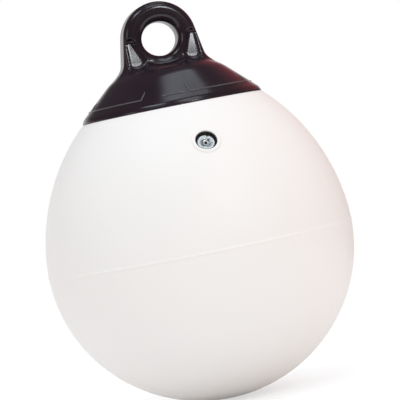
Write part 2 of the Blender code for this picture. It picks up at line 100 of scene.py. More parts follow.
def egg_distance(points):
    """Signed distance of points from the ball's skin, negative inside, with the gradient."""
    radius = np.hypot(points[..., 0], points[..., 1])
    rise = points[..., 2] - EQUATOR_Z
    power = np.where(rise > 0, EGG_POWER, 2.0)
    reach = np.where(rise > 0, CROWN_RISE, BASE_DROP)
    across = np.maximum(radius / EQUATOR_RADIUS, 1e-9)
    along = np.maximum(np.abs(rise) / reach, 1e-9)
    level = (across ** power + along ** power) ** (1 / power)
    slope_r = (across / level) ** (power - 1) / EQUATOR_RADIUS
    slope_z = (along / level) ** (power - 1) / reach * np.sign(rise)
    steep = np.hypot(slope_r, slope_z)
    outward = slope_r / np.maximum(radius, 1e-9)
    gradient = np.stack([outward * points[..., 0], outward * points[..., 1], slope_z], -1)
    return (level - 1) / steep, gradient / steep[..., None]


collar_radius = outline_point(COLLAR_TURN)[0]
print("the cap's edge meets the ball at radius", round(collar_radius / MM, 1), "mm")

# %% [markdown]
# ## The valve's own axes
# The valve points straight out of the shoulder, so it is easiest to work in axes of its own, with Z
# along the skin's normal. A point is then turned into the frame's axes by one matrix.

# %% Place the valve on the shoulder
VALVE_RISE = 102.9 * MM
valve_turn = math.asin((VALVE_RISE / CROWN_RISE) ** (EGG_POWER / 2))
valve_radius, valve_rise = outline_point(valve_turn)
valve_origin = np.array([0.0, -valve_radius, EQUATOR_Z + valve_rise])
valve_normal = egg_distance(valve_origin[None])[1][0]
valve_tip = math.atan2(-valve_normal[1], valve_normal[2])
valve_place = Matrix.Translation(valve_origin) @ Matrix.Rotation(valve_tip, 4, 'X')
print("the valve leans", round(math.degrees(valve_tip), 1), "degrees from upright")


def in_valve_axes(points):
    """Turn points given in the valve's axes into the frame's axes."""
    turn = np.array(valve_place.to_3x3())
    return points @ turn.T + valve_origin


def skin_below(points, inset):
    """Slide points along the valve's axis until they lie on the skin, moved in by an inset."""
    moved = points.copy()
    for _ in range(6):
        distance, gradient = egg_distance(moved)
        facing = np.maximum(gradient @ valve_normal, 0.2)
        moved -= ((distance + inset) / facing)[:, None] * valve_normal
    return moved


# %% [markdown]
# ## The ball's skin as a grid of rings
# The real ball is turned out of a mould, so its surface is rings of points: fine ones at the seam,
# where the mould's halves left a small ridge, and wider ones elsewhere. Round the valve a patch of
# faces is left out later, because a grid of rings can't follow a circle that small, and rings round
# the valve's own axis fill it. The air chamber inside is a second, coarser grid.

# %% Make the rings of the skin and of the air chamber
SKIN_COLUMNS = 288
CHAMBER_COLUMNS = 120
COLLAR_ROUND = 0.25 * MM
SEAM_ZONE = 4.0 * MM
SEAM_HALF_WIDTH = 1.3 * MM
SEAT_FADE = math.radians(9)


def soft_step(share):
    """A share from 0 to 1 with a soft start and a soft end."""
    share = np.clip(share, 0, 1)
    return share * share * (3 - 2 * share)


def seam_lift(rise):
    """How far the mould seam stands out: a narrow ridge at the equator."""
    return SEAM_RISE * math.exp(-(rise / SEAM_HALF_WIDTH) ** 2)


def skin_rings():
    """Radius and rise of each ring, from the crown to the base."""
    rings = [outline_point(turn, SEAT_DEPTH) for turn in np.linspace(math.pi / 2, COLLAR_TURN, 26)]
    rings.append(outline_point(COLLAR_TURN, COLLAR_ROUND))
    rings.append(outline_point(COLLAR_TURN - COLLAR_ROUND / EQUATOR_RADIUS))
    seam_turn = SEAM_ZONE / EQUATOR_RADIUS
    rings += [outline_point(turn) for turn in np.linspace(COLLAR_TURN, seam_turn, 52)[1:]]
    for turn in np.linspace(seam_turn, -seam_turn, 33)[1:]:
        radius, rise = outline_point(turn)
        rings.append((radius + seam_lift(rise), rise))
    rings += [outline_point(turn) for turn in np.linspace(-seam_turn, -math.pi / 2, 76)[1:]]
    return np.array(rings)


def chamber_rings():
    """Radius and rise of each ring of the air chamber, deeper under the cap's seat."""
    rings = []
    for turn in np.linspace(math.pi / 2, -math.pi / 2, 64):
        under_seat = soft_step((turn - COLLAR_TURN) / SEAT_FADE + 1)
        rings.append(outline_point(turn, WALL + SEAT_DEPTH * under_seat))
    return np.array(rings)


def ring_grid(rings, columns):
    """Points and faces of a closed surface through rings, with a single point at each pole."""
    turns = np.arange(columns) * math.tau / columns
    inner = rings[1:-1]
    circle = np.stack([np.cos(turns), np.sin(turns)], -1)
    flat = inner[:, None, :1] * circle[None]
    high = np.broadcast_to(inner[:, None, 1:] + EQUATOR_Z, flat.shape[:2] + (1,))
    poles = [[0, 0, rings[0, 1] + EQUATOR_Z], [0, 0, rings[-1, 1] + EQUATOR_Z]]
    points = np.concatenate([np.concatenate([flat, high], -1).reshape(-1, 3), poles])
    start = np.arange(len(inner) - 1)[:, None] * columns
    here = np.arange(columns)[None]
    there = (here + 1) % columns
    below = start + columns
    quads = np.stack([start + here, below + here, below + there, start + there], -1)
    faces = quads.reshape(-1, 4).tolist()
    top, base = len(points) - 2, len(points) - 1
    last = (len(inner) - 1) * columns
    faces += [[top, column, (column + 1) % columns] for column in range(columns)]
    faces += [[base, last + (column + 1) % columns, last + column] for column in range(columns)]
    return points, faces


skin_points, skin_faces = ring_grid(skin_rings(), SKIN_COLUMNS)
chamber_points, chamber_faces = ring_grid(chamber_rings(), CHAMBER_COLUMNS)
print("skin:", len(skin_faces), "faces; air chamber:", len(chamber_faces), "faces")

# %% [markdown]
# ## The valve well, ring by ring
# The well has a low raised lip, a straight bore with a groove for the rubber body, and a thick boss
# inside the chamber. It could be cut with a Boolean, but that leaves long thin faces in a shiny
# skin. A stack of rings gives a clean lip instead. Each ring has a radius and a height, both in
# millimetres, and a number that says what the height is measured from: the valve's flat plane (0),
# the curved skin (1) or the chamber's wall (2).

# %% List the well's rings and make their points
WELL_COLUMNS = 128
WELL_RINGS = [
    (17.0, 0.0, 1), (16.0, 0.0, 1), (15.3, 0.0, 1), (14.8, 0.03, 1), (14.4, 0.10, 1),
    (14.05, 0.24, 1), (13.8, 0.42, 1), (13.6, 0.28, 0), (13.4, 0.52, 0), (13.1, 0.70, 0),
    (12.6, 0.80, 0), (11.6, 0.80, 0), (11.1, 0.76, 0), (10.75, 0.62, 0), (10.5, 0.36, 0),
    (10.4, 0.0, 0), (10.4, -2.0, 0), (10.4, -4.0, 0), (10.4, -9.0, 0), (12.6, -9.0, 0),
    (12.6, -12.6, 0), (10.4, -12.6, 0), (10.4, -15.5, 0), (10.9, -16.0, 0), (15.9, -16.0, 0),
    (17.3, -15.4, 0), (18.0, -14.0, 0), (18.0, -8.0, 0), (18.3, -0.6, 2), (19.2, 0.0, 2),
]


def well_points():
    """Points of every ring of the well, from the skin down to the chamber's wall."""
    turns = np.arange(WELL_COLUMNS) * math.tau / WELL_COLUMNS
    stack = []
    for radius, height, surface in WELL_RINGS:
        flat = np.stack([np.cos(turns) * radius * MM, np.sin(turns) * radius * MM, turns * 0], -1)
        placed = in_valve_axes(flat)
        if surface:
            placed = skin_below(placed, WALL * (surface - 1))
        stack.append(placed + valve_normal * height * MM)
    return np.array(stack)


well = well_points()
print("well:", len(well), "rings of", WELL_COLUMNS, "points")

# %% [markdown]
# ## Make room for the well
# The skin and the chamber each lose the faces round the valve's axis. The holes are a little wider
# than the well's first and last rings, so that a narrow band of new faces can join them.

# %% Leave out the faces round the valve
SKIN_HOLE = 19.5 * MM
CHAMBER_HOLE = 23.0 * MM
FAR_SIDE = -100.0 * MM


def leave_out(points, faces, reach):
    """Drop the faces whose centre lies within reach of the valve's axis, on the valve's side."""
    kept = []
    for face in faces:
        offset = points[face].mean(0) - valve_origin
        along = offset @ valve_normal
        across = math.sqrt(max(offset @ offset - along * along, 0.0))
        if across > reach or along < FAR_SIDE:
            kept.append(face)
    return kept


skin_kept = leave_out(skin_points, skin_faces, SKIN_HOLE)
chamber_kept = leave_out(chamber_points, chamber_faces, CHAMBER_HOLE)
print("left out of the skin:", len(skin_faces) - len(skin_kept), "faces")
print("left out of the chamber:", len(chamber_faces) - len(chamber_kept), "faces")

# %% [markdown]
# ## Join skin, well and chamber into one closed shell
# bmesh can bridge two loops of edges that have different numbers of points. It joins the skin's
# hole to the well's first ring, and the chamber's hole to its last. The result is one closed wall
# with air inside, as a blown ball has.

# %% Build the ball
def add_part(shape, points, faces):
    """Add points and faces to a bmesh, and return its new vertices."""
    verts = [shape.verts.new(point) for point in points]
    for face in faces:
        shape.faces.new([verts[index] for index in face])
    return verts


def open_edges(verts):
    """The edges round the hole in a part: those with only one face."""
    return list({edge for vert in verts for edge in vert.link_edges if len(edge.link_faces) == 1})


def ring_edges(ring):
    """The edges between neighbours of a closed ring of vertices."""
    members = set(ring)
    edges = {edge for vert in ring for edge in vert.link_edges if edge.other_vert(vert) in members}
    return list(edges)


def build_shell():
    """Join skin, well and chamber into one closed mesh."""
    shape = bmesh.new()
    skin_hole = open_edges(add_part(shape, skin_points, skin_kept))
    rows, columns = well.shape[:2]
    quads = []
    for start in range(0, (rows - 1) * columns, columns):
        below = start + columns
        for here in range(columns):
            there = (here + 1) % columns
            quads.append([start + here, below + here, below + there, start + there])
    rings = add_part(shape, well.reshape(-1, 3), quads)
    bmesh.ops.bridge_loops(shape, edges=skin_hole + ring_edges(rings[:columns]))
    chamber_hole = open_edges(add_part(shape, chamber_points, chamber_kept))
    bmesh.ops.bridge_loops(shape, edges=chamber_hole + ring_edges(rings[-columns:]))
    loose = [vert for vert in shape.verts if not vert.link_faces]
    bmesh.ops.delete(shape, geom=loose, context='VERTS')
    bmesh.ops.recalc_face_normals(shape, faces=shape.faces)
    if shape.calc_volume(signed=True) < 0:
        bmesh.ops.reverse_faces(shape, faces=shape.faces)
    gaps = sum(1 for edge in shape.edges if len(edge.link_faces) != 2)
    print("ball:", len(shape.faces), "faces,", gaps, "open edges, volume",
          round(shape.calc_volume() * 1e6), "cm3")
    mesh = bpy.data.meshes.new("vinyl_ball")
    shape.to_mesh(mesh)
    shape.free()
    return mesh


def add_object(name, mesh):
    """Put a mesh in the scene as an object."""
    piece = bpy.data.objects.new(name, mesh)
    bpy.context.scene.collection.objects.link(piece)
    return piece


ball = add_object("vinyl_ball", build_shell())

# %% [markdown]
# ## Shade the skin with the formula's normals
# A glossy skin shows every change in how its faces lie, and the band of faces round the valve isn't
# laid like the rest. The outline's formula knows the exact normal at any point, so the corners that
# lie on the skin take theirs from it, and the band disappears.

# %% Set the skin's normals
SKIN_TOLERANCE = 0.01 * MM
LIP_REACH = 15.0 * MM


def smooth_the_skin(mesh):
    """Give the skin its exact normals, and return how many corners took them."""
    mesh.shade_smooth()
    mesh.set_sharp_from_angle(angle=math.radians(40))
    points = np.empty(len(mesh.vertices) * 3)
    mesh.vertices.foreach_get("co", points)
    points = points.reshape(-1, 3)
    distance, exact = egg_distance(points)
    offset = points - valve_origin
    along = offset @ valve_normal
    across = np.sqrt(np.maximum((offset ** 2).sum(1) - along ** 2, 0))
    on_skin = (np.abs(distance) < SKIN_TOLERANCE) & (across > LIP_REACH)
    corners = np.empty(len(mesh.loops), np.int32)
    mesh.loops.foreach_get("vertex_index", corners)
    normals = np.array([corner.vector for corner in mesh.corner_normals])
    picked = on_skin[corners]
    normals[picked] = exact[corners[picked]]
    mesh.normals_split_custom_set(normals)
    return int(picked.sum())


print("corners with exact normals:", smooth_the_skin(ball.data))

# %% [markdown]
# ## The cap as a distance field
# The cap is one moulding: a cone with a banded lip, a flat deck, and a lug that grows out of the
# deck through a soft fillet, with a rolled eye and two flutes on each face. Booleans would leave a
# hard line wherever two shapes meet. A distance field doesn't: each shape is a function that gives
# the distance to its surface, and a smooth minimum or maximum of two such functions has the fillet
# built in. First come the two blends.

# %% Blend two distance fields
def smooth_max(a, b, width):
    """The larger of two distances, with a rounded edge where they are nearly equal."""
    near = np.maximum(width - np.abs(a - b), 0) / width
    return np.maximum(a, b) + near * near * width / 4


def smooth_min(a, b, width):
    """The smaller of two distances, with a fillet where they are nearly equal."""
    return -smooth_max(-a, -b, width)


print("a blend 4 mm wide adds", smooth_max(0, 0, 4), "mm where two surfaces cross")

# %% [markdown]
# ### The turned part: deck, cone, band and lip
# Seen in section, each of these is a straight line, and the distance to a straight line is a dot
# product with its normal. Three rounded corners join them, and the seat on the crown is the ball's
# own distance, moved in.

# %% Measure distances from the turned part
EYE_LIFT = 29.4 * MM
DECK_Z = -EYE_LIFT
DECK_RADIUS = 46.0 * MM
DECK_ROUND = 1.8 * MM
CHAMFER_RADIUS = 57.0 * MM
CHAMFER_DROP = 6.2 * MM
CHAMFER_ROUND = 1.2 * MM
LIP_PROUD = 0.8 * MM
BAND_HEIGHT = 4.0 * MM
BAND_SLOPE = math.radians(26)
BAND_ROUND = 0.5 * MM
CLEARANCE = 0.3 * MM

collar_normal = Vector((math.cos(COLLAR_TURN) ** (2 - 2 / EGG_POWER) / EQUATOR_RADIUS,
                        math.sin(COLLAR_TURN) ** (2 - 2 / EGG_POWER) / CROWN_RISE)).normalized()
lip_radius, lip_rise = outline_point(COLLAR_TURN, -LIP_PROUD)
lip_radius -= collar_normal.y * CLEARANCE
lip_z = lip_rise + collar_normal.x * CLEARANCE + EQUATOR_Z
band_radius = lip_radius - BAND_HEIGHT * math.tan(BAND_SLOPE)
band_z = lip_z + BAND_HEIGHT
cone_tilt = math.atan2(band_radius - CHAMFER_RADIUS, DECK_Z - CHAMFER_DROP - band_z)
chamfer_tilt = math.atan2(CHAMFER_RADIUS - DECK_RADIUS, CHAMFER_DROP)


def side_of_line(radius, height, through, tilt):
    """Distance from a line in section whose outward normal is tilted up from the radius."""
    return (radius - through[0]) * math.cos(tilt) + (height - through[1]) * math.sin(tilt)


def turned_distance(radius, height):
    """Distance from the outside of the cap's turned part."""
    cone = side_of_line(radius, height, (band_radius, band_z), cone_tilt)
    chamfer = side_of_line(radius, height, (DECK_RADIUS, DECK_Z), chamfer_tilt)
    band = side_of_line(radius, height, (lip_radius, lip_z), BAND_SLOPE)
    top = smooth_max(smooth_max(cone, chamfer, CHAMFER_ROUND), height - DECK_Z, DECK_ROUND)
    return smooth_max(top, band, BAND_ROUND)


def seat_distance(points, radius, height):
    """Distance from the cap's underside: its seat on the crown, and the end face of its lip."""
    crown = -(egg_distance(points)[0] + SEAT_DEPTH - CLEARANCE)
    end = (radius - lip_radius) * collar_normal.y - (height - lip_z) * collar_normal.x
    return crown, end


print("cone half angle", round(math.degrees(cone_tilt), 1), "degrees")

# %% [markdown]
# ### The lug's plate and its eye
# The plate is the lug's outline, a circle with two tangent flanks, given a thickness and rounded
# edges. The eye is a spool with rolled lips. Its lip runs out into the plate's flat face, where the
# two need no blend, but lower down it meets the foot at an angle. So the caller says how wide the
# corner between lip and foot is blended.

# %% Measure distances from the plate and the eye
LUG_RADIUS = cap_high.z
LUG_THICKNESS = 30.0 * MM
LUG_EDGE = 7.5 * MM
LUG_FOOT = 43.0 * MM
EYE_HALF_WIDTH = 18.3 * MM
EYE_HALF_HEIGHT = 16.8 * MM
EYE_LIP = 9.0 * MM
foot_turn = math.atan2(EYE_LIFT, LUG_FOOT)
flank_turn = math.acos(LUG_RADIUS / math.hypot(LUG_FOOT, EYE_LIFT)) - foot_turn


def plate_distance(points):
    """Distance from the lug's plate, which runs on down inside the turned part."""
    x = np.abs(points[..., 0])
    z = points[..., 2]
    along_flank = -x * math.sin(flank_turn) + z * math.cos(flank_turn)
    flank = x * math.cos(flank_turn) + z * math.sin(flank_turn) - LUG_RADIUS
    outline = np.where(along_flank < 0, flank, np.hypot(x, z) - LUG_RADIUS)
    side = outline + LUG_EDGE
    face = np.abs(points[..., 1]) - LUG_THICKNESS / 2 + LUG_EDGE
    outer = np.hypot(np.maximum(side, 0), np.maximum(face, 0))
    return outer + np.minimum(np.maximum(side, face), 0) - LUG_EDGE


def eye_distance(points, corner):
    """Distance from the spool that opens the eye, negative inside the opening."""
    radius = np.hypot(points[..., 0] * EYE_HALF_HEIGHT / EYE_HALF_WIDTH, points[..., 2])
    side = EYE_HALF_HEIGHT + EYE_LIP - radius
    face = np.abs(points[..., 1]) - LUG_THICKNESS / 2 + EYE_LIP
    outer = np.hypot(np.maximum(side, 0), np.maximum(face, 0))
    wall = outer + np.minimum(np.maximum(side, face), 0) - EYE_LIP
    return smooth_max(-side, -wall, corner)


print("lug radius from its solid:", round(LUG_RADIUS / MM, 2), "mm")
print("flank leans", round(math.degrees(flank_turn), 1), "degrees")

# %% [markdown]
# ### The flutes
# Two flutes on each face save vinyl beside the eye. Each is a pocket in the outline of a drop, large
# below and small above. Its flat floor is deepest at the top and slants out until it meets the foot,
# so it catches the light from above. The four are alike, so one formula serves after the point is
# folded into one quarter.

# %% Measure distances from the flutes
FLUTE_BOTTOM_OFFSET = 28.8 * MM
FLUTE_TOP_OFFSET = 31.8 * MM
FLUTE_BOTTOM_RADIUS = 9.0 * MM
FLUTE_TOP_RADIUS = 5.5 * MM
FLUTE_BOTTOM_LIFT = 11.0 * MM
FLUTE_LENGTH = 17.0 * MM
FLUTE_TOP_DEPTH = 4.4 * MM
FLUTE_SLOPE = math.radians(9.5)
FLUTE_FLOOR_ROUND = 4.5 * MM


def flute_distance(points):
    """Distance from the flutes' pockets, negative inside them."""
    x, y, z = np.abs(points[..., 0]), np.abs(points[..., 1]), points[..., 2]
    low = np.array([FLUTE_BOTTOM_OFFSET, DECK_Z + FLUTE_BOTTOM_LIFT])
    axis = np.array([FLUTE_TOP_OFFSET - FLUTE_BOTTOM_OFFSET, FLUTE_LENGTH])
    length = np.linalg.norm(axis)
    axis /= length
    along = (x - low[0]) * axis[0] + (z - low[1]) * axis[1]
    across = np.abs((x - low[0]) * axis[1] - (z - low[1]) * axis[0])
    slope = (FLUTE_BOTTOM_RADIUS - FLUTE_TOP_RADIUS) / length
    share = np.clip((along + across * slope / math.sqrt(1 - slope * slope)) / length, 0, 1)
    radius = FLUTE_BOTTOM_RADIUS + (FLUTE_TOP_RADIUS - FLUTE_BOTTOM_RADIUS) * share
    drop = np.hypot(along - share * length, across) - radius
    top_z = low[1] + FLUTE_LENGTH
    floor = (LUG_THICKNESS / 2 - FLUTE_TOP_DEPTH - y) * math.cos(FLUTE_SLOPE)
    floor += (top_z - z) * math.sin(FLUTE_SLOPE)
    return smooth_max(drop, floor, FLUTE_FLOOR_ROUND)


flute_middle = np.array([[FLUTE_BOTTOM_OFFSET, 0.0, DECK_Z + FLUTE_BOTTOM_LIFT]])
left_over = float(flute_distance(flute_middle)[0])
print("vinyl left between two flutes:", round(2 * left_over / MM, 1), "mm")

# %% [markdown]
# ### The whole cap
# The foot is a fillet between the deck and the plate. In front and behind it runs far out over the
# deck, and at the sides hardly at all. Dividing the plate's distance by a stretch does that, because
# the fillet then starts sooner. The flutes and the eye are cut after it, and the seat comes last.

# %% Put the cap together
FOOT_FILLET = 11.0 * MM
FOOT_STRETCH = 2.6
FOOT_SIDE_START = 18.0 * MM
FOOT_SIDE_WIDTH = 24.0 * MM
FLUTE_EDGE = 2.2 * MM
EYE_EDGE = 3.0 * MM
EYE_EDGE_START = -6.0 * MM
EYE_EDGE_RUN = 14.0 * MM
END_ROUND = 0.9 * MM


def cap_distance(points):
    """Distance from the whole cap."""
    radius = np.hypot(points[..., 0], points[..., 1])
    height = points[..., 2]
    toward_side = soft_step((np.abs(points[..., 0]) - FOOT_SIDE_START) / FOOT_SIDE_WIDTH)
    stretch = FOOT_STRETCH + (1 - FOOT_STRETCH) * toward_side
    plate = plate_distance(points) / stretch
    body = smooth_min(turned_distance(radius, height), plate, FOOT_FILLET)
    body = smooth_max(body, -flute_distance(points), FLUTE_EDGE)
    eye_edge = np.clip((EYE_EDGE_START - height) / EYE_EDGE_RUN, 0.01, 1) * EYE_EDGE
    body = smooth_max(body, -eye_distance(points, eye_edge), eye_edge)
    crown, end = seat_distance(points, radius, height)
    return np.maximum(smooth_max(body, end, END_ROUND), crown)


eye_room = cap_distance(np.zeros((1, 3)))[0]
print("free room round the eye's centre:", round(float(eye_room) / MM, 1), "mm")

# %% [markdown]
# ### From distances to points
# A field becomes a mesh by way of a grid of small cells. Where the field changes sign along a cell's
# edge, the surface crosses it, and the cell gets one point in the middle of its crossings. The Volume
# Cube and Volume to Mesh nodes do the like for a formula made of nodes, but this one is in Python.

# %% Find a point in each crossed cell
def cell_points(field, axes, cells):
    """The middle of the places where the surface crosses each cell's twelve edges."""
    total = np.zeros((len(cells), 3))
    number = np.zeros(len(cells))
    for axis in range(3):
        others = [other for other in range(3) if other != axis]
        for first in (0, 1):
            for second in (0, 1):
                corner = cells.copy()
                corner[:, others[0]] += first
                corner[:, others[1]] += second
                beyond = corner.copy()
                beyond[:, axis] += 1
                here = field[tuple(corner.T)]
                there = field[tuple(beyond.T)]
                crossed = (here < 0) != (there < 0)
                share = np.where(crossed, here / np.where(crossed, here - there, 1), 0)
                place = np.stack([axes[k][corner[:, k]] for k in range(3)], -1)
                edge = axes[axis][beyond[:, axis]] - axes[axis][corner[:, axis]]
                place[:, axis] += share * edge
                total += place * crossed[:, None]
                number += crossed
    return total / number[:, None]


slanted = np.add.outer(np.add.outer([0, 1], [0, 1]), [0, 1]) - 1.5
middle = cell_points(slanted, [np.array([0.0, 1.0])] * 3, np.array([[0, 0, 0]]))
print("a slanted plane through one cell gives the point", middle[0])

# %% [markdown]
# ### From points to faces
# Each edge of the grid that the surface crosses has four cells round it, and their points make one
# face. Its order follows which end of the edge is inside, so all faces look outward.

# %% Join the points by faces
def surface_net(field, axes):
    """Points and quads of the surface where a field is zero."""
    inside = field < 0
    count = np.zeros(tuple(size - 1 for size in field.shape), np.int8)
    for dx in (0, 1):
        for dy in (0, 1):
            for dz in (0, 1):
                size_x, size_y, size_z = count.shape
                count += inside[dx:dx + size_x, dy:dy + size_y, dz:dz + size_z]
    cells = np.argwhere((count > 0) & (count < 8))
    label = np.full(count.shape, -1)
    label[tuple(cells.T)] = np.arange(len(cells))
    quads = []
    for axis in range(3):
        one, two = (axis + 1) % 3, (axis + 2) % 3
        low = [slice(None)] * 3
        high = [slice(None)] * 3
        low[axis] = slice(0, -1)
        high[axis] = slice(1, None)
        change = np.argwhere(inside[tuple(low)] != inside[tuple(high)])
        change = change[(change[:, one] > 0) & (change[:, two] > 0)]
        leaving = inside[tuple(change.T)]
        ring = []
        for back_one, back_two in ((0, 0), (1, 0), (1, 1), (0, 1)):
            cell = change.copy()
            cell[:, one] -= back_one
            cell[:, two] -= back_two
            ring.append(label[tuple(cell.T)])
        quad = np.stack(ring, -1)
        quad[~leaving] = quad[~leaving, ::-1]
        quads.append(quad)
    return cell_points(field, axes, cells), np.concatenate(quads)


coarse = [np.linspace(-1, 1, 9)] * 3
coarse_field = np.linalg.norm(np.stack(np.meshgrid(*coarse, indexing='ij'), -1), axis=-1) - 0.7
coarse_points, coarse_quads = surface_net(coarse_field, coarse)
print("a coarse ball:", len(coarse_points), "points and", len(coarse_quads), "quads")

# %% [markdown]
# ### The cap's mesh
# The points are slid down the field's slope onto the exact surface. The slope there is also the
# normal, so the cap shades smoothly however the cells happen to lie.

# %% Mesh the cap
CELL = 1.1 * MM
SLIDES = 5
FINE_STEP = 0.02 * MM
NORMAL_STEP = 0.15 * MM
LEAST_SLOPE = 0.12


def slope_of(field, points, step):
    """The gradient of a field, from differences over a small step."""
    slopes = []
    for axis in range(3):
        shift = np.zeros(3)
        shift[axis] = step
        slopes.append((field(points + shift) - field(points - shift)) / (2 * step))
    return np.stack(slopes, -1)


def field_mesh(name, field, low, high, cell):
    """Mesh a field within a box, and shade it with the field's own normals."""
    axes = [np.arange(low[k] - 2 * cell, high[k] + 3 * cell, cell) for k in range(3)]
    grid = np.stack(np.meshgrid(*axes, indexing='ij'), -1)
    values = np.stack([field(layer) for layer in grid])
    points, quads = surface_net(values, axes)
    for _ in range(SLIDES):
        slope = slope_of(field, points, FINE_STEP)
        step = field(points) / np.maximum((slope ** 2).sum(-1), LEAST_SLOPE)
        points -= np.clip(step, -cell / 2, cell / 2)[:, None] * slope
    mesh = bpy.data.meshes.new(name)
    mesh.from_pydata(points.tolist(), [], quads.tolist())
    mesh.shade_smooth()
    normals = slope_of(field, points, NORMAL_STEP)
    normals /= np.linalg.norm(normals, axis=1)[:, None]
    mesh.normals_split_custom_set_from_vertices(normals)
    print(name, "has", len(points), "points and", len(quads), "quads")
    return mesh


cap_mesh = field_mesh("moulded_cap", cap_distance, cap_low, cap_high, CELL)
cap = add_object("moulded_cap", cap_mesh)

# %% [markdown]
# ## Fine raised lines round the skirt
# Thin lines stand on the cone: four open trays with a tick at each end, and a dash between each
# pair. Half of each bead is sunk in the skirt, and its ends taper, as a cut in a mould does.
# Curves with a round bevel make them, and the cone's section gives the radius at any height.

# %% Lay the raised lines
LINE_RADIUS = 0.8 * MM
LINE_LIFT = 11.2 * MM
GAP_TURN = math.radians(-14.7)
TRAY_SPAN = math.radians(55.6)
TICK_HEIGHT = 7.5 * MM
TICK_LEAN = math.radians(2)
DASH_SPAN = math.radians(16.7)
DASH_SHIFT = math.radians(5)
LINE_STEP = math.radians(1)
LINE_SETS = 4
END_SHARE = 0.45
TAPER = 0.3


def on_skirt(turn, lift):
    """A point on the cone at a height above the ball's collar."""
    height = EQUATOR_Z + COLLAR_RISE + lift
    radius = band_radius + (band_z - height) * math.tan(cone_tilt)
    return radius * math.sin(turn), -radius * math.cos(turn), height


def line_paths():
    """The points of every raised line."""
    paths = []
    for index in range(LINE_SETS):
        gap = GAP_TURN + math.tau * index / LINE_SETS
        count = round(DASH_SPAN / LINE_STEP)
        dash = gap + DASH_SHIFT + np.linspace(-DASH_SPAN / 2, DASH_SPAN / 2, count)
        paths.append([on_skirt(turn, LINE_LIFT) for turn in dash])
        middle = gap + math.pi / LINE_SETS
        count = round(TRAY_SPAN / LINE_STEP)
        tray = np.linspace(middle - TRAY_SPAN / 2, middle + TRAY_SPAN / 2, count)
        rise = np.linspace(1, 0, 7)[:-1]
        first = [on_skirt(tray[0] - TICK_LEAN * share, LINE_LIFT + TICK_HEIGHT * share)
                 for share in rise]
        last = [on_skirt(tray[-1] + TICK_LEAN * share, LINE_LIFT + TICK_HEIGHT * share)
                for share in rise[::-1]]
        paths.append(first + [on_skirt(turn, LINE_LIFT) for turn in tray] + last)
    return paths


def lay_lines():
    """Make the raised lines as one bevelled curve."""
    curve = bpy.data.curves.new("skirt_lines", 'CURVE')
    curve.dimensions = '3D'
    curve.bevel_depth = LINE_RADIUS
    curve.bevel_resolution = 3
    curve.use_fill_caps = True
    for path in line_paths():
        spline = curve.splines.new('POLY')
        spline.points.add(len(path) - 1)
        for index, place in enumerate(path):
            from_end = min(index, len(path) - 1 - index)
            spline.points[index].co = (*place, 1.0)
            spline.points[index].radius = min(END_SHARE + TAPER * from_end, 1.0)
        spline.use_smooth = True
    return add_object("skirt_lines", curve)


lines = lay_lines()
print("raised lines:", len(lines.data.splines))

# %% [markdown]
# ## The valve's pieces
# The black rubber body, the slotted nickel screw and the septum are all turned, so each one is a
# section spun round the valve's axis. Finer steps than the solids have give round edges that catch
# the light. The rubber body also lines the well with a thin sleeve, up to just under its rim.

# %% Turn the valve's pieces
VALVE_COLUMNS = 96
BODY_SECTION = [
    (10.1, -3.6), (10.1, -9.3), (12.3, -9.3), (12.3, -11.6), (11.7, -12.3), (10.1, -12.3),
    (10.1, -17.2), (9.3, -18.0), (2.0, -18.0), (2.0, -15.8), (5.3, -15.8), (5.3, -11.15),
    (6.3, -11.15), (6.3, -6.8), (8.75, -6.8), (8.75, -3.5), (9.0, -3.1), (9.5, -0.5), (9.65, -0.3),
    (9.85, -0.3), (10.05, -0.5), (10.1, -0.8),
]
SCREW_SECTION = [
    (3.7, -3.75), (3.78, -3.6), (3.95, -3.5), (8.0, -3.5), (8.2, -3.53), (8.37, -3.66), (8.45, -3.9),
    (8.45, -6.5), (6.0, -6.5), (6.0, -10.6), (5.6, -11.0), (1.4, -11.0), (1.4, -5.2), (1.65, -4.9),
    (3.5, -4.9), (3.7, -4.75),
]
SEPTUM_SECTION = [
    (0.0, -12.3), (0.8, -12.0), (1.6, -11.3), (5.0, -11.3), (5.0, -15.5), (0.0, -15.5),
]


def turn_section(name, section):
    """Spin a section, given in millimetres, round the valve's axis."""
    shape = bmesh.new()
    verts = [shape.verts.new((radius * MM, 0, height * MM)) for radius, height in section]
    edges = [shape.edges.new(pair) for pair in zip(verts, verts[1:])]
    if section[0][0] > 0:
        edges.append(shape.edges.new((verts[-1], verts[0])))
    bmesh.ops.spin(shape, geom=verts + edges, cent=(0, 0, 0), axis=(0, 0, 1), angle=math.tau,
                   steps=VALVE_COLUMNS, use_merge=True)
    bmesh.ops.remove_doubles(shape, verts=shape.verts, dist=0.001 * MM)
    bmesh.ops.recalc_face_normals(shape, faces=shape.faces)
    mesh = bpy.data.meshes.new(name)
    shape.to_mesh(mesh)
    shape.free()
    mesh.shade_smooth()
    mesh.set_sharp_from_angle(angle=math.radians(38))
    piece = add_object(name, mesh)
    piece.matrix_world = valve_place
    return piece


valve_body = turn_section("valve_rubber_body", BODY_SECTION)
valve_screw = turn_section("valve_slotted_screw", SCREW_SECTION)
valve_septum = turn_section("valve_rubber_septum", SEPTUM_SECTION)
print("turned:", [piece.name for piece in (valve_body, valve_screw, valve_septum)])

# %% [markdown]
# ### The screw's slot
# The slot is the one shape of the valve that isn't round, so a bar cuts it with a Boolean. The result
# is taken into the mesh, and the bar is thrown away.

# %% Cut the slot
HEAD_SINK = 3.5 * MM
HEAD_WIDTH = 16.9 * MM
SLOT_WIDTH = 1.5 * MM
SLOT_DEPTH = 1.2 * MM
SLOT_TURN = math.radians(-22)


